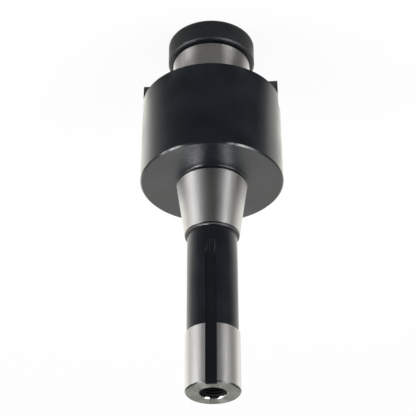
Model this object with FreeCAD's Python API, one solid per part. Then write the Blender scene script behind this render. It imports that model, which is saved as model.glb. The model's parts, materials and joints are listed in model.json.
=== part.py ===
import FreeCAD, Part
import math
import os

# Shell mill arbor with a taper shank, standing on the head of its lock screw.
# The axis is Z, the origin is the middle of the screw head's end face, and the
# drawbar end of the shank is at the top. Millimetres and degrees.

# Shank
land_diameter = 24.1
land_length = 27.2
land_chamfer = 0.65
relief_diameter = 22.85
relief_fillet = 0.3
cone_small_diameter = 25.2
cone_small_chamfer = 0.15
cone_collar_length = 0.6
cone_angle = 16.85
gauge_diameter = 31.75
gauge_length = 99.8
cone_overrun = 4.3
cone_edge_break = 0.2

# Neck and flange
neck_length = 1.7
neck_undercut = 0.3
neck_fillet = 0.8
flange_diameter = 67.3
flange_length = 45.9
flange_chamfer = 0.7
flange_face_chamfer = 0.25

# Pilot
pilot_diameter = 38.1
pilot_length = 25.8
pilot_chamfer = 1.2
pilot_undercut_width = 1.6
pilot_undercut_depth = 0.4

# Keyway in the shank, cut by a disc cutter that leaves a curved run-out
keyway_width = 4.9
keyway_depth = 2.5
keyway_length = 69.5
keyway_cutter_diameter = 25.4

# Hole for the drawbar, at its thread's nominal diameter
drawbar_diameter = 11.11
drawbar_depth = 38.0
drawbar_countersink = 12.4
drill_point_angle = 118.0

# Screws are turned down to the root of their threads, holes are at the nominal size
thread_depth_share = 0.6134

# Lock screw
screw_diameter = 19.05
screw_pitch = 1.5875
screw_length = 35.0
screw_tip_chamfer = 1.5
screw_hole_spare = 7.0
screw_hole_chamfer = 1.0
screw_head_diameter = 43.0
screw_head_height = 11.6
screw_head_edge_chamfer = 0.5
screw_head_seat_chamfer = 0.7
hex_across_flats = 15.875
hex_depth = 9.0
hex_drill_diameter = 15.4
hex_lead_in = 0.8

# Drive keys, each held in a milled seat by one cap screw
key_count = 2
key_width = 15.875
key_stand_out = 8.3
key_seat_depth = 6.35
key_pilot_gap = 1.0
key_corner = 1.6
key_edge_chamfer = 0.3
key_seat_corner_radius = 1.2

# Cap screws of the drive keys
cap_thread_diameter = 5.0
cap_pitch = 0.8
cap_clearance = 0.25
cap_length = 20.0
cap_head_diameter = 8.5
cap_head_height = 5.0
cap_head_sink = 0.5
cap_head_chamfer = 0.4
cap_hex_across_flats = 4.0
cap_hex_depth = 2.5
cap_hole_spare = 3.0

# Radii of the turned surfaces
land_r = land_diameter / 2
relief_r = relief_diameter / 2
cone_small_r = cone_small_diameter / 2
flange_r = flange_diameter / 2
pilot_r = pilot_diameter / 2
cone_slope = math.tan(math.radians(cone_angle / 2))
cone_big_r = gauge_diameter / 2 + cone_overrun * cone_slope
cone_reach = (gauge_diameter / 2 - cone_small_r) / cone_slope
neck_r = cone_big_r - neck_undercut

# Heights along the axis, from the screw head up to the drawbar end
seat_z = screw_head_height
face_z = seat_z + pilot_length
flange_top_z = face_z + flange_length
cone_big_z = flange_top_z + neck_length
gauge_z = cone_big_z + cone_overrun
cone_small_z = gauge_z + cone_reach
collar_z = cone_small_z + cone_small_chamfer + cone_collar_length
tail_z = gauge_z + gauge_length
land_z = tail_z - land_length

# Drive keys, with the first one along +X
key_outer_x = math.sqrt(flange_r ** 2 - (key_width / 2) ** 2)
key_inner_x = pilot_r + key_pilot_gap
key_middle_x = (key_outer_x + key_inner_x) / 2
key_low_z = face_z - key_stand_out
key_seat_z = face_z + key_seat_depth
cap_seat_z = key_low_z + cap_head_sink + cap_head_height

# Cutting shapes run this far past the faces that they open
reach = 1.0

# Places closer than this are the same
tolerance = 1e-6

AXIS = FreeCAD.Vector(0, 0, 1)
ORIGIN = FreeCAD.Vector(0, 0, 0)


def at(x, y, z):
    return FreeCAD.Vector(x, y, z)


def same(a, b):
    return abs(a - b) < tolerance


def turned(points):
    """Solid of revolution about Z from (radius, height) points."""
    corners = [at(r, 0, z) for r, z in points]
    outline = Part.makePolygon(corners + corners[:1])
    return Part.Face(outline).revolve(ORIGIN, AXIS, 360)


def cylinder(diameter, low, high, x=0.0):
    return Part.makeCylinder(diameter / 2, high - low, at(x, 0, low), AXIS)


def hexagon(across_flats, low, high, x=0.0):
    """Hexagonal prism with two flats facing Y."""
    corner_r = across_flats / math.sqrt(3)
    corners = [at(x + corner_r * math.cos(math.radians(60 * i)),
                  corner_r * math.sin(math.radians(60 * i)), low) for i in range(6)]
    outline = Part.makePolygon(corners + corners[:1])
    return Part.Face(outline).extrude(at(0, 0, high - low))


def drilled_hole(diameter, mouth, depth, up):
    """Hole along Z from its mouth, with the cone that a drill leaves at the bottom."""
    r = diameter / 2
    step = 1 if up else -1
    point = r / math.tan(math.radians(drill_point_angle / 2))
    return turned([(0, mouth - step * reach), (r, mouth - step * reach),
                   (r, mouth + step * depth), (0, mouth + step * (depth + point))])


def countersink(mouth_diameter, hole_diameter, mouth, up):
    """Cone at 45 degrees that opens a hole at its mouth, carried past the face."""
    step = 1 if up else -1
    wide = mouth_diameter / 2 + reach
    deep = (mouth_diameter - hole_diameter) / 2
    return turned([(0, mouth - step * reach), (wide, mouth - step * reach),
                   (hole_diameter / 2, mouth + step * deep), (0, mouth + step * deep)])


def edges_on(shape, radius, height):
    """Circular edges about Z at a radius and a height."""
    found = []
    for edge in shape.Edges:
        curve = edge.Curve
        if not isinstance(curve, Part.Circle):
            continue
        centred = same(math.hypot(curve.Center.x, curve.Center.y), 0)
        if centred and same(curve.Radius, radius) and same(curve.Center.z, height):
            found.append(edge)
    return found


def turned_blank():
    """Shank, neck, flange and pilot as they come off the lathe."""
    groove_r = pilot_r - pilot_undercut_depth
    groove_z = face_z - pilot_undercut_width
    blank = turned([
        (0, seat_z),
        (pilot_r - pilot_chamfer, seat_z),
        (pilot_r, seat_z + pilot_chamfer),
        (pilot_r, groove_z - pilot_undercut_depth),
        (groove_r, groove_z),
        (groove_r, face_z),
        (flange_r - flange_face_chamfer, face_z),
        (flange_r, face_z + flange_face_chamfer),
        (flange_r, flange_top_z - flange_chamfer),
        (flange_r - flange_chamfer, flange_top_z),
        (neck_r, flange_top_z),
        (neck_r, cone_big_z - (cone_big_r - cone_edge_break - neck_r)),
        (cone_big_r - cone_edge_break, cone_big_z),
        (cone_big_r - cone_edge_break * cone_slope, cone_big_z + cone_edge_break),
        (cone_small_r, cone_small_z),
        (cone_small_r - cone_small_chamfer, cone_small_z + cone_small_chamfer),
        (cone_small_r - cone_small_chamfer, collar_z),
        (relief_r, collar_z),
        (relief_r, land_z - (land_r - relief_r)),
        (land_r, land_z),
        (land_r, tail_z - land_chamfer),
        (land_r - land_chamfer, tail_z),
        (0, tail_z)])
    blank = blank.makeFillet(neck_fillet, edges_on(blank, neck_r, flange_top_z))
    return blank.makeFillet(relief_fillet, edges_on(blank, relief_r, collar_z))


def keyway():
    """Slot from the drawbar end, with the cutter's arc where it leaves the relief."""
    floor_r = land_r - keyway_depth
    cutter_r = keyway_cutter_diameter / 2
    rise = relief_r - floor_r
    run_out = math.sqrt(cutter_r ** 2 - (cutter_r - rise) ** 2)
    centre_z = tail_z - keyway_length + run_out
    slot = Part.makeBox(keyway_width, keyway_depth + reach, tail_z - centre_z + reach,
                        at(-keyway_width / 2, -land_r - reach, centre_z))
    cutter = Part.makeCylinder(cutter_r, keyway_width,
                               at(-keyway_width / 2, -floor_r - cutter_r, centre_z), at(1, 0, 0))
    return slot.fuse(cutter)


def upright_edges(block, x):
    """Edges of a block that run along Z at a place along X."""
    return [e for e in block.Edges
            if all(same(v.X, x) for v in e.Vertexes) and same(e.Vertexes[0].Y, e.Vertexes[1].Y)]


def key_seat():
    """Milled seat of the first drive key, open at the rim, with round inner corners."""
    length = flange_r + reach - key_inner_x
    block = Part.makeBox(length, key_width, key_seat_depth + reach,
                         at(key_inner_x, -key_width / 2, face_z - reach))
    return block.makeFillet(key_seat_corner_radius, upright_edges(block, key_inner_x))


def cap_hole():
    """Hole in the flange for the first key's cap screw."""
    depth = cap_length - (key_seat_z - cap_seat_z) + cap_hole_spare
    hole = drilled_hole(cap_thread_diameter, key_seat_z, depth, True)
    hole.translate(at(key_middle_x, 0, 0))
    return hole


def key_turns():
    """Angles of the drive keys round the axis."""
    return [360 * i / key_count for i in range(key_count)]


def round_axis(shape, angle):
    turned_copy = shape.copy()
    turned_copy.rotate(ORIGIN, AXIS, angle)
    return turned_copy


def arbor_body():
    """The one-piece arbor with its bores, keyway and key seats."""
    cuts = [
        keyway(),
        drilled_hole(drawbar_diameter, tail_z, drawbar_depth, False),
        countersink(drawbar_countersink, drawbar_diameter, tail_z, False),
        drilled_hole(screw_diameter, seat_z, screw_length + screw_hole_spare, True),
        countersink(screw_diameter + 2 * screw_hole_chamfer, screw_diameter, seat_z, True)]
    for angle in key_turns():
        cuts += [round_axis(key_seat(), angle), round_axis(cap_hole(), angle)]
    body = turned_blank()
    for cut in cuts:
        body = body.cut(cut)
    return body


def root_radius(diameter, pitch):
    """Radius at the bottom of a screw's 60 degree thread."""
    return diameter / 2 - thread_depth_share * pitch


def lock_screw():
    """Screw whose wide head keeps the cutter on the pilot, with a hexagon socket."""
    shank_r = root_radius(screw_diameter, screw_pitch)
    head_r = screw_head_diameter / 2
    tip_z = seat_z + screw_length
    screw = turned([
        (0, 0),
        (head_r - screw_head_edge_chamfer, 0),
        (head_r, screw_head_edge_chamfer),
        (head_r, seat_z - screw_head_seat_chamfer),
        (head_r - screw_head_seat_chamfer, seat_z),
        (shank_r, seat_z),
        (shank_r, tip_z - screw_tip_chamfer),
        (shank_r - screw_tip_chamfer, tip_z),
        (0, tip_z)])
    across_corners = 2 * hex_across_flats / math.sqrt(3)
    cuts = [
        hexagon(hex_across_flats, -reach, hex_depth),
        drilled_hole(hex_drill_diameter, 0, hex_depth, True),
        countersink(across_corners + hex_lead_in, across_corners - hex_lead_in, 0, True)]
    for cut in cuts:
        screw = screw.cut(cut)
    return screw


def drive_key():
    """First drive key: a hardened block with a counterbored hole for its cap screw."""
    length = key_outer_x - key_inner_x
    block = Part.makeBox(length, key_width, key_seat_z - key_low_z,
                         at(key_inner_x, -key_width / 2, key_low_z))
    block = block.makeChamfer(key_corner, upright_edges(block, key_inner_x))
    low_edges = [e for e in block.Edges if all(same(v.Z, key_low_z) for v in e.Vertexes)]
    block = block.makeChamfer(key_edge_chamfer, low_edges)
    through = cylinder(cap_thread_diameter + 2 * cap_clearance, key_low_z, key_seat_z, key_middle_x)
    counterbore = cylinder(cap_head_diameter + 2 * cap_clearance, key_low_z - reach, cap_seat_z,
                           key_middle_x)
    return block.cut(through).cut(counterbore)


def cap_screw():
    """Socket head cap screw of the first drive key."""
    head_r = cap_head_diameter / 2
    shank_r = root_radius(cap_thread_diameter, cap_pitch)
    low = cap_seat_z - cap_head_height
    tip = cap_seat_z + cap_length
    screw = turned([
        (0, low),
        (head_r - cap_head_chamfer, low),
        (head_r, low + cap_head_chamfer),
        (head_r, cap_seat_z),
        (shank_r, cap_seat_z),
        (shank_r, tip - cap_head_chamfer),
        (shank_r - cap_head_chamfer, tip),
        (0, tip)])
    screw = screw.cut(hexagon(cap_hex_across_flats, low - reach, low + cap_hex_depth))
    screw.translate(at(key_middle_x, 0, 0))
    return screw


def main():
    nodes = {"arbor_body": arbor_body(), "lock_screw": lock_screw()}
    for i, angle in enumerate(key_turns(), start=1):
        nodes[f"drive_key_{i}"] = round_axis(drive_key(), angle)
        nodes[f"key_screw_{i}"] = round_axis(cap_screw(), angle)
    os.makedirs("parts", exist_ok=True)
    for name, shape in nodes.items():
        shape.exportStep(f"parts/{name}.step")
        print(name, shape.isValid(), len(shape.Solids), round(shape.Volume, 1))


main()
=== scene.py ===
"""Looks of a shell mill arbor: black oxide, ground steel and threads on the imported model."""

import json
import math

import bmesh
import bpy
from bpy.props import FloatProperty, FloatVectorProperty, PointerProperty
from mathutils import Matrix, Vector


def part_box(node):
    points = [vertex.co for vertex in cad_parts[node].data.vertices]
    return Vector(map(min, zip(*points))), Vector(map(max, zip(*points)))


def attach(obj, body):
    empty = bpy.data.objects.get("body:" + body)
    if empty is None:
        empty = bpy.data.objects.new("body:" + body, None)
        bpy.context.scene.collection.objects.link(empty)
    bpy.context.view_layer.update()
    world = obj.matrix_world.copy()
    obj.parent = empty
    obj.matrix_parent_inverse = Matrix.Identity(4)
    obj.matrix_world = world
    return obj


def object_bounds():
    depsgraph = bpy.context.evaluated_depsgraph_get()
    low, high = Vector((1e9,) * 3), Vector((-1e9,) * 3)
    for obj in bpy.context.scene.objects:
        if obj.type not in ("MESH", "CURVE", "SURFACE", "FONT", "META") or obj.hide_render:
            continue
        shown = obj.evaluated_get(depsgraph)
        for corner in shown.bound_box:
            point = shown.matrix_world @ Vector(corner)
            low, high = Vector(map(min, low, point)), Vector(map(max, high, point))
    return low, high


bl_info = {
    "name": "Shell Mill Arbor",
    "version": (1, 0, 0),
    "blender": (4, 5, 0),
    "location": "View3D > Sidebar > Arbor",
    "description": "Finishes, threads and studio for a shell mill arbor",
    "category": "Object",
}

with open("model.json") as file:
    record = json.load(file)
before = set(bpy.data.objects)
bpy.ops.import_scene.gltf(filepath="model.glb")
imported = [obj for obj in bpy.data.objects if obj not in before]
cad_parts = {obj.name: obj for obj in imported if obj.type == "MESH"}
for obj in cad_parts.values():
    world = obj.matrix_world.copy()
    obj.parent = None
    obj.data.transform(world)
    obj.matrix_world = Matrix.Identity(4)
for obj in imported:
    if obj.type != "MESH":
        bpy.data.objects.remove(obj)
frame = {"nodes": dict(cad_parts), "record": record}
CAD_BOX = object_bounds()

MM = 0.001

# Surfaces closer than this are the same, and corners closer than the next are one
EDGE = 0.05 * MM
MERGE = 0.0005 * MM

# Depth of a 60 degree thread as a share of its pitch, on a screw and in a tapped hole, the share
# that its flat crest takes up, the slope of its flanks and the steps that a turn is drawn in
THREAD_DEPTH = 0.6134
TAPPED_DEPTH = 0.48
THREAD_CREST = 0.125
THREAD_FLANK = math.radians(30)
THREAD_STEPS = 48

# How far a colour strays from its middle: oil patches, lock screw grain and end face specks
OIL_CONTRAST = 0.2
GRAIN_CONTRAST = 0.5
SPECK_CONTRAST = 0.5

# How far roughness strays from its middle, on black oxide, the turned face and ground steel
OXIDE_SPREAD = 0.03
TURNED_SPREAD = 0.02
GROUND_SPREAD = 0.04

# Noise between these runs from 0 to 1
NOISE_SPAN = (0.35, 0.65)

# Tool marks: how often turning and grinding lines fade in and out along a radian, and the
# strength and depth of their bump. The lines are drawn coarser than real ones, which would be
# too fine to show
TURNED_FADES = 2.0
GROUND_FADES = 1.2
MARK_STRENGTH = 0.3
MARK_DEPTH = 0.004 * MM

# How far ground steel's gloss is drawn out, and its turn that points this along the axis
GLOSS_STRETCH = 0.95
GLOSS_TURN = 0.25

# Streaks along the axis: about how many fill a turn and the noise that runs from 0 to 1, for the
# keyway's painted highlight streaks and for ground steel, then the ground steel's two shares of
# its colour
STREAK_LENGTH = 20 * MM
HIGHLIGHT_STREAKS = (80, 0.5, 0.64)
GROUND_STREAKS = (150, 0.4, 0.65)
GROUND_SHARES = (0.94, 1.04)

# Painted highlight at the keyway's run-out, lighter streaks that stand in for the light its ramp
# reflects: how far over the keyway's half depth they end, how much wall round the bore is kept
# clear of them, the heights over the run-out between which they fade, and their strength
HIGHLIGHT_RISE = 0.45 * MM
BORE_WALL = 2 * MM
HIGHLIGHT_FADE = (2 * MM, 9 * MM)
HIGHLIGHT_SHARE = 0.8

# Painted shade in the drawbar hole, a near-black film that stands in for the hole's shade: its
# thickness, the steps it is drawn in, how far it runs up the countersink and its waves, each a
# height, a count round the rim and a shift. It stops at a narrow edge on two arcs of the far
# side, each between bearings off the camera's middle
SHADE_FILM = 0.03 * MM
SHADE_FILM_STEPS = 120
SHADE_FILM_REACH = 0.5 * MM
SHADE_FILM_WAVES = ((0.05 * MM, 19, 0), (0.035 * MM, 31, 1))
SHADE_FILM_GAP_REACH = 0.1 * MM
SHADE_FILM_GAP_ARCS = ((18, 58), (-42, -19))

# The camera stands this many degrees round the axis from the middle of the keyway. It was fitted
# to the photograph: lens in mm, tilt and roll in degrees, and its place to the right of the
# axis, behind it and over the drawbar end in mm
CAMERA_TURN = -4.0
CAMERA_LENS = 100.707
CAMERA_TILT = 32.754
CAMERA_ROLL = -0.153
CAMERA_PLACE = (1.896, -453.676, 199.19)

# Soft lamps: a bearing in degrees off the camera's middle, an elevation and a size in metres
LAMPS = (("left_lamp", -70, 42, 0.5), ("right_lamp", 58, 50, 0.5))

# Radius of the floor, height of the cards over it and the steps that a card is bent in
FLOOR_RADIUS = 6
FLOOR_STEPS = 96
CARD_LIFT = 0.5 * MM
CARD_STEPS = 48


def mount(name):
    """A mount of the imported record, by name."""
    return next(m for m in frame["record"]["mounts"] if m["name"] == name)


def span(name):
    """Lowest and highest z of a mount's wall, in metres."""
    half = mount(name)["dims"]["length_mm"] * MM / 2
    middle = mount(name)["pos_m"][2]
    return middle - half, middle + half


def radius(name):
    """Radius of a mount's wall, in metres."""
    return mount(name)["dims"]["r_mm"] * MM


def linear(hex_colour):
    """Linear colour of an sRGB hex value."""
    channels = [int(hex_colour[i:i + 2], 16) / 255 for i in (1, 3, 5)]
    return tuple(c / 12.92 if c <= 0.04045 else ((c + 0.055) / 1.055) ** 2.4 for c in channels)


def colour_property(name, description, hex_colour):
    return FloatVectorProperty(name=name, description=description, subtype="COLOR", size=3,
                               min=0, max=1, default=linear(hex_colour))


def length_property(name, description, millimetres):
    return FloatProperty(name=name, description=description, unit="LENGTH", precision=5,
                         min=0, default=millimetres * MM)


def share_property(name, description, default):
    return FloatProperty(name=name, description=description, subtype="FACTOR",
                         min=0, max=1, default=default)


def level_property(name, description, default):
    return FloatProperty(name=name, description=description, min=0, default=default)


class ArborFinish(bpy.types.PropertyGroup):
    """Colours and surface textures of the arbor's steel."""
    oxide: colour_property("Black oxide", "Colour of the blackened steel", "#14191F")
    ground: colour_property("Ground steel", "Colour of the ground taper, land and pilot", "#C1C0C1")
    faced: colour_property("Faced end", "Colour of the shank's dull end face", "#585A54")
    # Painted highlight: a lighter grey on the keyway's run-out and the taper's small-end shoulder,
    # standing in for the light they reflect
    worn: colour_property("Worn steel", "Colour of edges and cuts that are worn bright", "#4E4C4A")
    oil_size: length_property("Oil patches", "Size of the patches that oil stands in", 14)
    grain_size: length_property("Grain size", "Size of the lock screw's grain", 1.0)
    grit_size: length_property("Grit size", "Size of the end face's specks", 1.0)
    grind_spacing: length_property("Grind spacing", "Distance between grinding lines", 0.2)
    tool_spacing: length_property("Turning spacing", "Distance between turning lines", 0.5)
    oxide_roughness: share_property("Oxide roughness", "Roughness of the oiled black oxide", 0.2)
    satin_roughness: share_property("Satin roughness", "Roughness of the lock screw", 0.4)
    faced_roughness: share_property("Faced roughness", "Roughness of the shank's end face", 0.5)
    turned_roughness: share_property("Turned roughness", "Roughness of the flange's face", 0.28)
    # Painted shade: the bore colour and roughness give the drawbar hole's thread and film a
    # near-black that stands in for the hole's shade
    bore: colour_property("Bore", "Colour of the oily drawbar bore", "#0A0B0C")
    bore_roughness: share_property("Bore roughness", "Roughness of the oily drawbar bore", 0.6)
    ground_roughness: share_property("Ground roughness", "Roughness of the ground steel", 0.37)


class ArborThreads(bpy.types.PropertyGroup):
    """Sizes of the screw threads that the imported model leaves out."""
    drawbar_pitch: length_property("Drawbar pitch", "Pitch of the drawbar thread", 1.27)
    lock_pitch: length_property("Lock screw pitch", "Pitch of the lock screw's thread", 1.5875)
    lock_diameter: length_property("Lock screw size", "Diameter over the lock screw's thread", 19.05)
    clearance: length_property("Clearance", "Gap between a thread's crest and its mate", 0.07)


class ArborStudio(bpy.types.PropertyGroup):
    """Lamps and cards round the arbor."""
    floor: colour_property("Floor", "Colour of the floor", "#F4F4F3")
    lamp: level_property("Lamp brightness", "Radiance of both lamps", 6.0)
    strip: level_property("Strip brightness", "Radiance of the strips that steel mirrors", 20.0)
    sky: level_property("Room light", "Strength of the room's even light", 0.6)
    wash: share_property("Floor wash", "Share of plain white in the floor that shows", 0.9)
    card: colour_property("Cards", "Colour of the cards that steel mirrors", "#FFFEF6")
    distance: length_property("Lamp distance", "Distance of the lamps and strips", 1000)


def add_node(tree, kind, inputs=None, **settings):
    """Adds a node with its settings; an input is a value or the output that feeds it."""
    node = tree.nodes.new(kind)
    for name, value in settings.items():
        setattr(node, name, value)
    for socket, value in (inputs or {}).items():
        if isinstance(value, bpy.types.NodeSocket):
            tree.links.new(value, node.inputs[socket])
        else:
            node.inputs[socket].default_value = value
    return node


def new_material(name):
    material = bpy.data.materials.new(name)
    material.use_nodes = True
    material.node_tree.nodes.clear()
    return material, material.node_tree


def opaque(colour, share=1.0):
    """A shader colour, with its brightness changed by a share."""
    return (*(channel * share for channel in colour), 1.0)


def cylindrical(tree):
    """Distance from the axis, turn about it and height of a point, as three outputs."""
    place = add_node(tree, "ShaderNodeTexCoord").outputs["Object"]
    xyz = add_node(tree, "ShaderNodeSeparateXYZ", {0: place}).outputs
    across = add_node(tree, "ShaderNodeCombineXYZ", {0: xyz["X"], 1: xyz["Y"]}).outputs[0]
    distance = add_node(tree, "ShaderNodeVectorMath", {0: across}, operation="LENGTH")
    turn = add_node(tree, "ShaderNodeMath", {0: xyz["X"], 1: xyz["Y"]}, operation="ARCTAN2")
    return distance.outputs["Value"], turn.outputs[0], xyz["Z"]


def lathe_lines(tree, spacing, fades):
    """Noise in lines round the axis, which fade in and out along their length."""
    distance, turn, height = cylindrical(tree)
    rows = [add_node(tree, "ShaderNodeMath", {0: value, 1: scale}, operation="MULTIPLY").outputs[0]
            for value, scale in ((distance, 1 / spacing), (turn, fades), (height, 1 / spacing))]
    place = add_node(tree, "ShaderNodeCombineXYZ", dict(enumerate(rows))).outputs[0]
    return add_node(tree, "ShaderNodeTexNoise", {"Vector": place, "Scale": 1.0, "Detail": 3.0,
                                                 "Roughness": 0.6}).outputs["Fac"]


def patches(tree, size):
    """Soft patches of about one size, as a share that runs the whole way from 0 to 1."""
    place = add_node(tree, "ShaderNodeTexCoord").outputs["Object"]
    noise = add_node(tree, "ShaderNodeTexNoise", {"Vector": place, "Scale": 1 / size, "Detail": 3.0,
                                                  "Roughness": 0.55}).outputs["Fac"]
    return add_node(tree, "ShaderNodeMapRange", {
        "Value": noise, "From Min": NOISE_SPAN[0], "From Max": NOISE_SPAN[1]}).outputs[0]


def axial_streaks(tree, count, least, most):
    """Streaks that run along the axis, about as many as a count in a whole turn, as a share
    that runs from 0 to 1 between a least and a most noise."""
    _, turn, height = cylindrical(tree)
    across = add_node(tree, "ShaderNodeMath", {0: turn, 1: count / (2 * math.pi)},
                      operation="MULTIPLY").outputs[0]
    along = add_node(tree, "ShaderNodeMath", {0: height, 1: 1 / STREAK_LENGTH},
                     operation="MULTIPLY").outputs[0]
    place = add_node(tree, "ShaderNodeCombineXYZ", {0: across, 1: along}).outputs[0]
    noise = add_node(tree, "ShaderNodeTexNoise", {"Vector": place, "Scale": 1.0,
                                                  "Detail": 2.0}).outputs["Fac"]
    return add_node(tree, "ShaderNodeMapRange", {"Value": noise, "From Min": least,
                                                 "From Max": most}).outputs[0]


def oxide_look(tree, finish, roughness, size, contrast):
    """Hot black oxide: a thin dark magnetite film with oil on it, which stands in faint patches
    that are darker and smoother than the rest. Gives a colour and a roughness."""
    oil = patches(tree, size)
    colour = add_node(tree, "ShaderNodeMix", {0: oil, 6: opaque(finish.oxide, 1 - contrast),
                                              7: opaque(finish.oxide, 1 + contrast)},
                      data_type="RGBA")
    rough = add_node(tree, "ShaderNodeMapRange", {"Value": oil, "To Min": roughness - OXIDE_SPREAD,
                                                  "To Max": roughness + OXIDE_SPREAD})
    return colour.outputs[2], rough.outputs[0]


def milled_black_oxide(name, finish, roughness, size, contrast):
    """Black oxide on machined steel, nearly black face on, with tool lines faintly showing."""
    material, tree = new_material(name)
    colour, rough = oxide_look(tree, finish, roughness, size, contrast)
    lines = lathe_lines(tree, finish.tool_spacing, TURNED_FADES)
    bump = add_node(tree, "ShaderNodeBump", {"Height": lines, "Strength": MARK_STRENGTH,
                                             "Distance": MARK_DEPTH}).outputs[0]
    shader = add_node(tree, "ShaderNodeBsdfPrincipled", {
        "Base Color": colour, "Roughness": rough, "Normal": bump})
    add_node(tree, "ShaderNodeOutputMaterial", {"Surface": shader.outputs[0]})
    return material


def zone(tree, tests):
    """A share of 1 where a point passes every test, each a value, an operation and a limit."""
    share = 1.0
    for value, operation, limit in tests:
        test = add_node(tree, "ShaderNodeMath", {0: value, 1: limit}, operation=operation)
        share = add_node(tree, "ShaderNodeMath", {0: share, 1: test.outputs[0]},
                         operation="MULTIPLY").outputs[0]
    return share


def highest(least):
    """Height of the arbor body's highest corner past a least distance from the axis."""
    corners = (vertex.co for vertex in frame["nodes"]["arbor_body"].data.vertices)
    return max(corner.z for corner in corners if corner.xy.length > least + EDGE)


def steel_zones(tree):
    """Shares by name: where the arbor is faced, turned, countersunk, ground and given a painted
    highlight.
    """
    distance, _, height = cylindrical(tree)
    ground = 0.0
    for name, least in (("shank_taper", 0.0), ("shank_land", radius("shank_land") - EDGE),
                        ("pilot", radius("pilot") - EDGE)):
        low, high = span(name)
        wall = zone(tree, [(height, "GREATER_THAN", low - EDGE), (height, "LESS_THAN", high),
                           (distance, "GREATER_THAN", least)])
        ground = add_node(tree, "ShaderNodeMath", {0: ground, 1: wall},
                          operation="MAXIMUM").outputs[0]
    end, face, shoulder = CAD_BOX[1].z, highest(radius("pilot")), highest(radius("shank_land"))
    bore_top = span("drawbar_thread")[1]
    run_out = span("shank_keyway")[0]
    cut_r = -mount("shank_keyway")["pos_m"][1]
    # Painted highlight: lighter streaks at the keyway's run-out, standing in for the light its ramp
    # reflects
    run_out_highlight = zone(tree, [(height, "GREATER_THAN", run_out),
                          (distance, "LESS_THAN", cut_r + HIGHLIGHT_RISE),
                          (distance, "GREATER_THAN", radius("drawbar_thread") + BORE_WALL)])
    fade = add_node(tree, "ShaderNodeMapRange", {
        "Value": height, "From Min": run_out + HIGHLIGHT_FADE[0], "From Max": run_out + HIGHLIGHT_FADE[1],
        "To Min": HIGHLIGHT_SHARE, "To Max": 0.0}, interpolation_type="SMOOTHSTEP").outputs[0]
    highlight_streaks = axial_streaks(tree, *HIGHLIGHT_STREAKS)
    for share in (run_out_highlight, fade):
        highlight_streaks = add_node(tree, "ShaderNodeMath", {0: highlight_streaks, 1: share},
                           operation="MULTIPLY").outputs[0]
    # Painted highlight: a lighter ring on the shoulder at the taper's small end, standing in for its
    # reflection of the room
    rim = zone(tree, [(height, "GREATER_THAN", shoulder - EDGE),
                      (height, "LESS_THAN", shoulder + EDGE)])
    return {
        "faced": zone(tree, [(height, "GREATER_THAN", end - EDGE)]),
        "turned": zone(tree, [(height, "GREATER_THAN", face - EDGE),
                              (height, "LESS_THAN", face + EDGE)]),
        "mouth": zone(tree, [(height, "LESS_THAN", end - EDGE), (height, "GREATER_THAN", bore_top),
                             (distance, "LESS_THAN", radius("drawbar_thread") + end - bore_top)]),
        "worn": add_node(tree, "ShaderNodeMath", {0: highlight_streaks, 1: rim},
                         operation="MAXIMUM").outputs[0],
        "ground": ground}


def arbor_steel(finish):
    """The arbor's one piece of steel: black oxide all over, then ground bright on the taper, the
    land and the pilot. Turning and grinding leave lines round the axis, so its gloss is drawn
    out along the axis."""
    material, tree = new_material("black_oxide_and_ground_steel")
    zones = steel_zones(tree)
    colour, rough = oxide_look(tree, finish, finish.oxide_roughness, finish.oil_size, OIL_CONTRAST)
    grind = lathe_lines(tree, finish.grind_spacing, GROUND_FADES)
    dull, steel = [
        add_node(tree, "ShaderNodeMix", {0: pattern, 6: opaque(middle, low), 7: opaque(middle, high)},
                 data_type="RGBA").outputs[2]
        for pattern, middle, low, high in (
            (patches(tree, finish.grit_size), finish.faced, 1 - SPECK_CONTRAST, 1 + SPECK_CONTRAST),
            (axial_streaks(tree, *GROUND_STREAKS), finish.ground, *GROUND_SHARES))]
    # The painted highlight lays a lighter grey on the run-out and the shoulder, where they would
    # reflect light
    for name, look in (("faced", dull), ("worn", opaque(finish.worn)), ("ground", steel),
                       ("mouth", opaque(finish.ground))):
        colour = add_node(tree, "ShaderNodeMix", {0: zones[name], 6: colour, 7: look},
                          data_type="RGBA").outputs[2]
    turned = lathe_lines(tree, finish.tool_spacing, TURNED_FADES)
    turned_rough = add_node(tree, "ShaderNodeMapRange", {
        "Value": turned, "From Min": NOISE_SPAN[0], "From Max": NOISE_SPAN[1],
        "To Min": finish.turned_roughness - TURNED_SPREAD,
        "To Max": finish.turned_roughness + TURNED_SPREAD}).outputs[0]
    steel_rough = add_node(tree, "ShaderNodeMapRange", {
        "Value": grind, "To Min": finish.ground_roughness - GROUND_SPREAD,
        "To Max": finish.ground_roughness + GROUND_SPREAD}).outputs[0]
    for name, look in (("faced", finish.faced_roughness), ("turned", turned_rough),
                       ("worn", finish.faced_roughness), ("ground", steel_rough),
                       ("mouth", finish.turned_roughness)):
        rough = add_node(tree, "ShaderNodeMix", {0: zones[name], 2: rough, 3: look}).outputs[0]

    bright = add_node(tree, "ShaderNodeMath", {0: zones["ground"], 1: zones["mouth"]},
                      operation="MAXIMUM").outputs[0]
    lines = add_node(tree, "ShaderNodeMix", {0: zones["ground"], 2: turned, 3: grind}).outputs[0]
    bump = add_node(tree, "ShaderNodeBump", {"Height": lines, "Strength": MARK_STRENGTH,
                                             "Distance": MARK_DEPTH}).outputs[0]
    around = add_node(tree, "ShaderNodeTangent", direction_type="RADIAL", axis="Z").outputs[0]
    shader = add_node(tree, "ShaderNodeBsdfPrincipled", {
        "Base Color": colour, "Metallic": bright, "Roughness": rough, "Normal": bump,
        "Anisotropic": GLOSS_STRETCH, "Anisotropic Rotation": GLOSS_TURN, "Tangent": around})
    add_node(tree, "ShaderNodeOutputMaterial", {"Surface": shader.outputs[0]})
    return material


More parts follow.
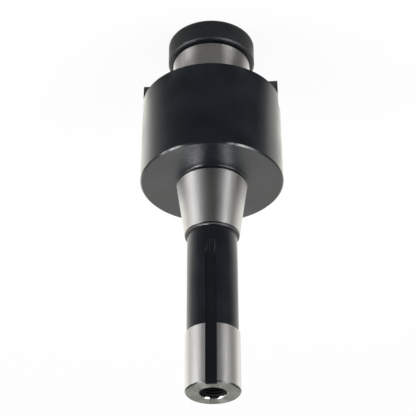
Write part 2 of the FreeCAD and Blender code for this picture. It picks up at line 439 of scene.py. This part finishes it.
def oily_bore(finish):
    """Painted shade for a bore: near-black and barely glossy, so almost no light comes back out."""
    material, tree = new_material("oily_bore")
    shader = add_node(tree, "ShaderNodeBsdfPrincipled", {
        "Base Color": opaque(finish.bore), "Roughness": finish.bore_roughness,
        "Specular IOR Level": 0.1})
    add_node(tree, "ShaderNodeOutputMaterial", {"Surface": shader.outputs[0]})
    return material


def dress(node, material):
    """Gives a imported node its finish."""
    for slot in frame["nodes"][node].material_slots:
        slot.material = material


def new_piece(name, make, material, smooth=True):
    """A new object at the origin, from a function that fills a bmesh."""
    bm = bmesh.new()
    make(bm)
    bmesh.ops.remove_doubles(bm, verts=bm.verts, dist=MERGE)
    bmesh.ops.recalc_face_normals(bm, faces=bm.faces)
    mesh = bpy.data.meshes.new(name)
    bm.to_mesh(mesh)
    bm.free()
    for polygon in mesh.polygons:
        polygon.use_smooth = smooth
    piece = bpy.data.objects.new(name, mesh)
    bpy.context.scene.collection.objects.link(piece)
    mesh.materials.append(material)
    return piece


def helical_ridge(bm, wall_r, crest_r, pitch, low, high):
    """One thread ridge: a 60 degree section swept up a helix from a wall to its crest."""
    crest = THREAD_CREST * pitch
    foot = crest + 2 * abs(crest_r - wall_r) * math.tan(THREAD_FLANK)
    steps = int(((high - low - foot) / pitch) * THREAD_STEPS)
    start = low + foot / 2
    section = [(wall_r, -foot / 2), (crest_r, -crest / 2), (crest_r, crest / 2), (wall_r, foot / 2)]
    corners = [bm.verts.new((r, 0, start + z)) for r, z in section]
    face = bm.faces.new(corners)
    bmesh.ops.spin(bm, geom=[face, *face.edges, *face.verts], cent=(0, 0, 0), axis=(0, 0, 1),
                   dvec=(0, 0, pitch / THREAD_STEPS), angle=2 * math.pi * steps / THREAD_STEPS,
                   steps=steps, use_duplicate=False)


def shade_film_reach(turn):
    """How far up the countersink the painted shade film runs, at a turn off the camera's middle."""
    bearing = -math.degrees(turn)
    if any(first < bearing < last for first, last in SHADE_FILM_GAP_ARCS):
        return SHADE_FILM_GAP_REACH
    return SHADE_FILM_REACH + sum(size * math.sin(count * turn + shift) for size, count, shift in SHADE_FILM_WAVES)


def painted_shade_film(bm, wall_r, low, high):
    """Dark film of painted shade on a bore's wall and countersink, up to a ragged edge near the rim.
    """
    inner_r, outer_r = wall_r - SHADE_FILM, wall_r + SHADE_FILM
    corners = ((inner_r, low), (inner_r, high), (inner_r, high + SHADE_FILM),
               (outer_r, high - SHADE_FILM), (outer_r, low))
    section = [bm.verts.new((r, 0, z)) for r, z in corners]
    edges = [bm.edges.new(pair) for pair in zip(section, section[1:] + section[:1])]
    bmesh.ops.spin(bm, geom=[*section, *edges], cent=(0, 0, 0), axis=(0, 0, 1), dvec=(0, 0, 0),
                   angle=2 * math.pi, steps=SHADE_FILM_STEPS, use_merge=True, use_duplicate=False)
    for vertex in bm.verts:
        if vertex.co.z > high + SHADE_FILM / 2:
            reach = shade_film_reach(math.atan2(vertex.co.x, vertex.co.y) - math.radians(CAMERA_TURN))
            vertex.co.z += reach
            vertex.co.xy *= 1 + reach / inner_r


class ARBOR_OT_body(bpy.types.Operator):
    """Finish the arbor body in black oxide and ground steel"""
    bl_idname = "arbor.body"
    bl_label = "Arbor Body"

    def execute(self, context):
        dress("arbor_body", arbor_steel(context.scene.arbor_finish))
        return {"FINISHED"}


class ARBOR_OT_lock_screw(bpy.types.Operator):
    """Finish the lock screw and cut its thread"""
    bl_idname = "arbor.lock_screw"
    bl_label = "Lock Screw"

    def execute(self, context):
        finish, threads = context.scene.arbor_finish, context.scene.arbor_threads
        material = milled_black_oxide("satin_black_oxide", finish, finish.satin_roughness,
                                      finish.grain_size, GRAIN_CONTRAST)
        dress("lock_screw", material)
        seat_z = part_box("arbor_body")[0].z
        tip_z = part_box("lock_screw")[1].z
        crest_r = threads.lock_diameter / 2 - threads.clearance
        root_r = threads.lock_diameter / 2 - THREAD_DEPTH * threads.lock_pitch

        def cut(bm):
            helical_ridge(bm, root_r, crest_r, threads.lock_pitch, seat_z + threads.lock_pitch,
                          tip_z - threads.lock_pitch)
        piece = new_piece("lock_screw_thread", cut, material, smooth=False)
        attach(piece, "lock_screw")
        return {"FINISHED"}


class ARBOR_OT_drive_keys(bpy.types.Operator):
    """Finish the drive keys and their cap screws"""
    bl_idname = "arbor.drive_keys"
    bl_label = "Drive Keys"

    def execute(self, context):
        finish = context.scene.arbor_finish
        material = milled_black_oxide("milled_black_oxide", finish, finish.oxide_roughness,
                                      finish.oil_size, OIL_CONTRAST)
        for node in ("drive_key_1", "drive_key_2", "key_screw_1", "key_screw_2"):
            dress(node, material)
        return {"FINISHED"}


class ARBOR_OT_drawbar_thread(bpy.types.Operator):
    """Cut the thread of the drawbar hole and paint shade into it"""
    bl_idname = "arbor.drawbar_thread"
    bl_label = "Drawbar Thread"

    def execute(self, context):
        finish, threads = context.scene.arbor_finish, context.scene.arbor_threads
        wall_r = radius("drawbar_thread")
        low, high = span("drawbar_thread")
        crest_r = wall_r - TAPPED_DEPTH * threads.drawbar_pitch
        material = oily_bore(finish)

        def cut(bm):
            helical_ridge(bm, wall_r, crest_r, threads.drawbar_pitch, low, high)

        def line(bm):
            painted_shade_film(bm, wall_r, low, high)
        # Both pieces take the near-black painted shade material
        for name, make in (("drawbar_thread_ridge", cut), ("drawbar_oil", line)):
            piece = new_piece(name, make, material, smooth=False)
            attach(piece, "arbor")
        return {"FINISHED"}


# Rings of the floor that the steel mirrors, from the head's to the land's: a level, the
# distances from the axis in mm, and stops of a bearing in degrees off the camera's middle
# and a share
FLOOR_RINGS = (
    ("head_floor", 2.0, 22, 36, [
        (-180, 0.5), (-140, 0.6), (-109, 0.6), (-90, 0.3), (-70, 0.19), (-54, 0.165),
        (-43, 0.135), (-20, 0.11), (20, 0.105), (36, 0.12), (48, 0.145), (62, 0.17), (80, 0.22),
        (100, 0.6), (115, 0.75), (140, 0.7), (180, 0.5)]),
    ("pilot_floor", 3.0, 36, 62, [
        (-180, 1.0), (-125, 1.0), (-105, 0.3), (-84, 0.0), (-64, 0.0), (-57, 0.24), (-50, 0.36),
        (-42, 0.28), (-32, 0.15), (-20, 0.15), (18, 0.15), (24, 0.17), (32, 0.35), (42, 0.37),
        (49, 0.12), (58, 0.0), (80, 0.0), (100, 0.2), (125, 1.0), (180, 1.0)]),
    ("flange_floor", 2.6, 62, 200, [
        (-180, 0.65), (-139, 0.65), (-125, 0.83), (-115, 0.82), (-97, 0.39), (-82, 0.2),
        (-68, 0.09), (-46, 0.04), (36, 0.03), (67, 0.05), (81, 0.15), (96, 0.46), (114, 0.57),
        (125, 0.7), (180, 0.65)]),
    ("relief_floor", 2.1, 200, 355, [
        (-180, 0.5), (-127, 0.6), (-102, 0.22), (-82, 0.16), (-70, 0.07), (-46, 0.05),
        (36, 0.04), (66, 0.05), (83, 0.03), (103, 0.2), (129, 0.43), (180, 0.6)]),
    ("land_floor", 2.1, 355, 1500, [
        (-180, 0.5), (-150, 0.65), (-125, 0.9), (-104, 0.5), (-88, 0.18), (-70, 0.06),
        (-46, 0.05), (36, 0.05), (66, 0.06), (88, 0.13), (104, 0.48), (125, 0.9), (150, 0.6),
        (180, 0.45)]))

# The room's wall above the floor and over the top: a level, the lowest and highest points of
# its profile, each a distance from the axis and a height in metres, and stops as above
WALLS = (
    ("low_wall", 3.0, [(1.5, CARD_LIFT), (1.5, 0.5)], [
        (-180, 0.45), (-155, 0.75), (-135, 0.75), (-120, 0.3), (-106, 0.18), (-96, 0.7),
        (-88, 1.0), (-70, 1.0), (-62, 0.3), (-55, 0.04), (-40, 0.03), (36, 0.03), (43, 0.1),
        (48, 0.5), (57, 0.5), (68, 0.27), (92, 0.15), (115, 0.38), (150, 0.5), (180, 0.45)]),
    ("high_wall", 1.4, [(1.5, 0.5), (1.5, 1.7), (0.04, 2.3)], [
        (-180, 1.0), (-150, 0.9), (-115, 0.5), (-92, 0.2), (-57, 0.1), (-46, 0.08), (36, 0.08),
        (46, 0.12), (92, 0.2), (115, 0.55), (150, 0.9), (180, 1.0)]))

# Bright strips: a level, the lowest and highest elevation in degrees, and stops as above
STRIPS = (
    ("left_strip_inner", 2.1, 45, 52, [(-73, 0.0), (-70, 1.0), (-63, 1.0), (-57, 0.0)]),
    ("left_strip_middle", 2.3, 40, 47, [(-82, 0.0), (-78, 1.0), (-70, 1.0), (-66, 0.0)]),
    ("left_strip_outer", 1.8, 35, 42, [(-94, 0.0), (-89, 1.0), (-80, 1.0), (-76, 0.0)]),
    ("left_high_strip", 2.6, 62, 76, [(-106, 0.0), (-98, 1.0), (-78, 1.0), (-72, 0.0)]),
    ("left_mouth_strip", 0.07, 37, 51, [(-114, 0.0), (-108, 1.0), (-84, 1.0), (-78, 0.0)]),
    ("right_strip", 1.0, 42, 58, [
        (44, 0.0), (49, 1.0), (60, 1.0), (84, 0.45), (98, 0.0)]),
    ("right_inner_strip", 1.6, 51, 55, [(29, 0.0), (33, 1.0), (42, 1.0), (46, 0.0)]),
    ("right_mouth_strip", 0.09, 58, 64, [(44, 0.0), (50, 1.0), (76, 1.0), (82, 0.0)]))


def seen_by_eye_or_gloss(tree):
    """A share of 1 for rays that see the background: camera, glossy and transmission."""
    path = add_node(tree, "ShaderNodeLightPath").outputs
    seen = add_node(tree, "ShaderNodeMath", {0: path["Is Camera Ray"], 1: path["Is Glossy Ray"]},
                    operation="MAXIMUM").outputs[0]
    return add_node(tree, "ShaderNodeMath", {0: seen, 1: path["Is Transmission Ray"]},
                    operation="MAXIMUM").outputs[0]


def matt_paper(studio):
    """Matt paper floor, washed towards white where it shows so that its shadow stays faint."""
    material, tree = new_material("matt_paper_floor")
    paper = add_node(tree, "ShaderNodeBsdfDiffuse", {"Color": opaque(studio.floor)})
    white = add_node(tree, "ShaderNodeEmission", {"Color": (1, 1, 1, 1), "Strength": 1.0})
    share = add_node(tree, "ShaderNodeMath", {0: seen_by_eye_or_gloss(tree), 1: studio.wash},
                     operation="MULTIPLY").outputs[0]
    both = add_node(tree, "ShaderNodeMixShader", {0: share, 1: paper.outputs[0],
                                                  2: white.outputs[0]})
    add_node(tree, "ShaderNodeOutputMaterial", {"Surface": both.outputs[0]})
    return material


def card_glow(name, level, colour, stops):
    """Glow of a card. Its level is multiplied by a share that runs between stops, each a bearing
    in degrees off the camera's middle and a share."""
    material, tree = new_material(name)
    place = add_node(tree, "ShaderNodeTexCoord").outputs["Object"]
    away = add_node(tree, "ShaderNodeVectorMath", {0: place, "Scale": -1.0}, operation="SCALE")
    xyz = add_node(tree, "ShaderNodeSeparateXYZ", {0: away.outputs[0]}).outputs
    turn = add_node(tree, "ShaderNodeMath", {0: xyz["X"], 1: xyz["Y"]},
                    operation="ARCTAN2").outputs[0]
    half, shift = math.pi, math.radians(CAMERA_TURN)
    along = add_node(tree, "ShaderNodeMapRange", {"Value": turn, "From Min": -half - shift,
                                                  "From Max": half - shift}).outputs[0]
    shares = add_node(tree, "ShaderNodeValToRGB", {"Fac": along})
    marks = shares.color_ramp.elements
    for mark, (bearing, share) in zip(marks, (stops[0], stops[-1])):
        mark.color = opaque(colour, share)
    for bearing, share in stops:
        marks.new(0.5 + bearing / 360).color = opaque(colour, share)
    glow = add_node(tree, "ShaderNodeEmission", {"Color": shares.outputs[0], "Strength": level})
    add_node(tree, "ShaderNodeOutputMaterial", {"Surface": glow.outputs[0]})
    return material


def bent_card(name, level, colour, stops, profile):
    """A card bent round the arbor between its first and last stop, with a profile of distances
    from the axis and heights in metres. Only gloss sees it."""
    first, last = (math.radians(CAMERA_TURN - bearing) for bearing in (stops[0][0], stops[-1][0]))

    def bend(bm):
        line = [bm.verts.new((0, -distance, height)) for distance, height in profile]
        edges = [bm.edges.new(pair) for pair in zip(line, line[1:])]
        bmesh.ops.rotate(bm, verts=line, cent=(0, 0, 0), matrix=Matrix.Rotation(first, 3, "Z"))
        bmesh.ops.spin(bm, geom=[*line, *edges], cent=(0, 0, 0), axis=(0, 0, 1), dvec=(0, 0, 0),
                       angle=last - first, steps=CARD_STEPS, use_duplicate=False)
    piece = new_piece(name, bend, card_glow(name, level, colour, stops))
    piece.visible_camera = False
    piece.visible_diffuse = False
    piece.visible_shadow = False
    piece.visible_transmission = False


def strip(name, level, stops, low, high, studio):
    """A bright strip between two elevations, curved round the arbor's middle."""
    middle = (CAD_BOX[0].z + CAD_BOX[1].z) / 2
    distance = studio.distance
    profile = [(distance * math.cos(math.radians(angle)),
                middle + distance * math.sin(math.radians(angle))) for angle in (low, high)]
    bent_card(name, level * studio.strip, (1, 1, 1), stops, profile)


def soft_lamp(name, bearing, elevation, size, studio):
    """Square soft lamp aimed at the arbor, which lights it but isn't mirrored in it."""
    lamp = bpy.data.lights.new(name, "AREA")
    lamp.shape = "SQUARE"
    lamp.size = size
    lamp.energy = studio.lamp * math.pi * size * size
    piece = bpy.data.objects.new(name, lamp)
    bpy.context.scene.collection.objects.link(piece)
    turn = (Matrix.Rotation(math.radians(CAMERA_TURN - bearing), 4, "Z")
            @ Matrix.Rotation(math.radians(90 - elevation), 4, "X"))
    middle = (CAD_BOX[0] + CAD_BOX[1]) / 2
    out = Matrix.Translation((0, 0, studio.distance))
    piece.matrix_world = Matrix.Translation(middle) @ turn @ out
    piece.visible_camera = False
    piece.visible_glossy = False


def white_room(scene, studio):
    """White world for the eye and for gloss, and an even light for the rest."""
    world = bpy.data.worlds.new("white_room")
    scene.world = world
    world.use_nodes = True
    tree = world.node_tree
    tree.nodes.clear()
    strength = add_node(tree, "ShaderNodeMix", {0: seen_by_eye_or_gloss(tree), 2: studio.sky,
                                                3: 1.0})
    light = add_node(tree, "ShaderNodeBackground", {"Color": (1, 1, 1, 1),
                                                    "Strength": strength.outputs[0]})
    add_node(tree, "ShaderNodeOutputWorld", {"Surface": light.outputs[0]})


def product_camera(scene):
    """Camera over the drawbar end, upside down, as the photograph shows the arbor."""
    camera = bpy.data.cameras.new("product_camera")
    camera.lens = CAMERA_LENS
    camera.sensor_width = 36.0
    piece = bpy.data.objects.new("product_camera", camera)
    scene.collection.objects.link(piece)
    pitch, roll = math.radians(CAMERA_TILT), math.radians(CAMERA_ROLL)
    right = Vector((-1, 0, 0))
    up = Vector((0, -math.sin(pitch), -math.cos(pitch)))
    back = right.cross(up)
    rolled_right = right * math.cos(roll) + up * math.sin(roll)
    rolled_up = up * math.cos(roll) - right * math.sin(roll)
    axes = Matrix((rolled_right, rolled_up, back)).transposed().to_4x4()
    across, behind, over_end = (part * MM for part in CAMERA_PLACE)
    place = Vector((across, behind, CAD_BOX[1].z + over_end))
    turn = Matrix.Rotation(math.radians(CAMERA_TURN), 4, "Z")
    piece.matrix_world = turn @ Matrix.Translation(place) @ axes
    scene.camera = piece


class ARBOR_OT_studio(bpy.types.Operator):
    """Set up the floor, lamps, cards and camera"""
    bl_idname = "arbor.studio"
    bl_label = "Studio"

    def execute(self, context):
        scene, studio = context.scene, context.scene.arbor_studio
        scene.view_settings.view_transform = "Standard"

        def disc(bm):
            bmesh.ops.create_circle(bm, cap_ends=True, segments=FLOOR_STEPS, radius=FLOOR_RADIUS)
        floor = new_piece("floor", disc, matt_paper(studio), smooth=False)
        for name, level, near, far, stops in FLOOR_RINGS:
            profile = [(near * MM, CARD_LIFT), (far * MM, CARD_LIFT)]
            bent_card(name, level, studio.card, stops, profile)
        for name, level, profile, stops in WALLS:
            bent_card(name, level, studio.card, stops, profile)
        for name, level, low, high, stops in STRIPS:
            strip(name, level, stops, low, high, studio)
        for name, bearing, elevation, size in LAMPS:
            soft_lamp(name, bearing, elevation, size, studio)
        white_room(scene, studio)
        product_camera(scene)
        return {"FINISHED"}


OPERATORS = (ARBOR_OT_body, ARBOR_OT_lock_screw, ARBOR_OT_drive_keys, ARBOR_OT_drawbar_thread,
             ARBOR_OT_studio)


class ARBOR_PT_panel(bpy.types.Panel):
    """Finishes, threads and studio of the arbor"""
    bl_idname = "ARBOR_PT_panel"
    bl_label = "Shell Mill Arbor"
    bl_space_type = "VIEW_3D"
    bl_region_type = "UI"
    bl_category = "Arbor"

    def draw(self, context):
        scene = context.scene
        for group in (scene.arbor_finish, scene.arbor_threads, scene.arbor_studio):
            box = self.layout.box()
            for name in group.__annotations__:
                box.prop(group, name)
        for operator in OPERATORS:
            self.layout.operator(operator.bl_idname)


CLASSES = (ArborFinish, ArborThreads, ArborStudio, *OPERATORS, ARBOR_PT_panel)


def register():
    for cls in CLASSES:
        bpy.utils.register_class(cls)
    bpy.types.Scene.arbor_finish = PointerProperty(type=ArborFinish)
    bpy.types.Scene.arbor_threads = PointerProperty(type=ArborThreads)
    bpy.types.Scene.arbor_studio = PointerProperty(type=ArborStudio)


def unregister():
    del bpy.types.Scene.arbor_studio
    del bpy.types.Scene.arbor_threads
    del bpy.types.Scene.arbor_finish
    for cls in reversed(CLASSES):
        bpy.utils.unregister_class(cls)


def main():
    register()
    bpy.ops.arbor.body()
    bpy.ops.arbor.lock_screw()
    bpy.ops.arbor.drive_keys()
    bpy.ops.arbor.drawbar_thread()
    bpy.ops.arbor.studio()


if __name__ == "__main__":
    main()
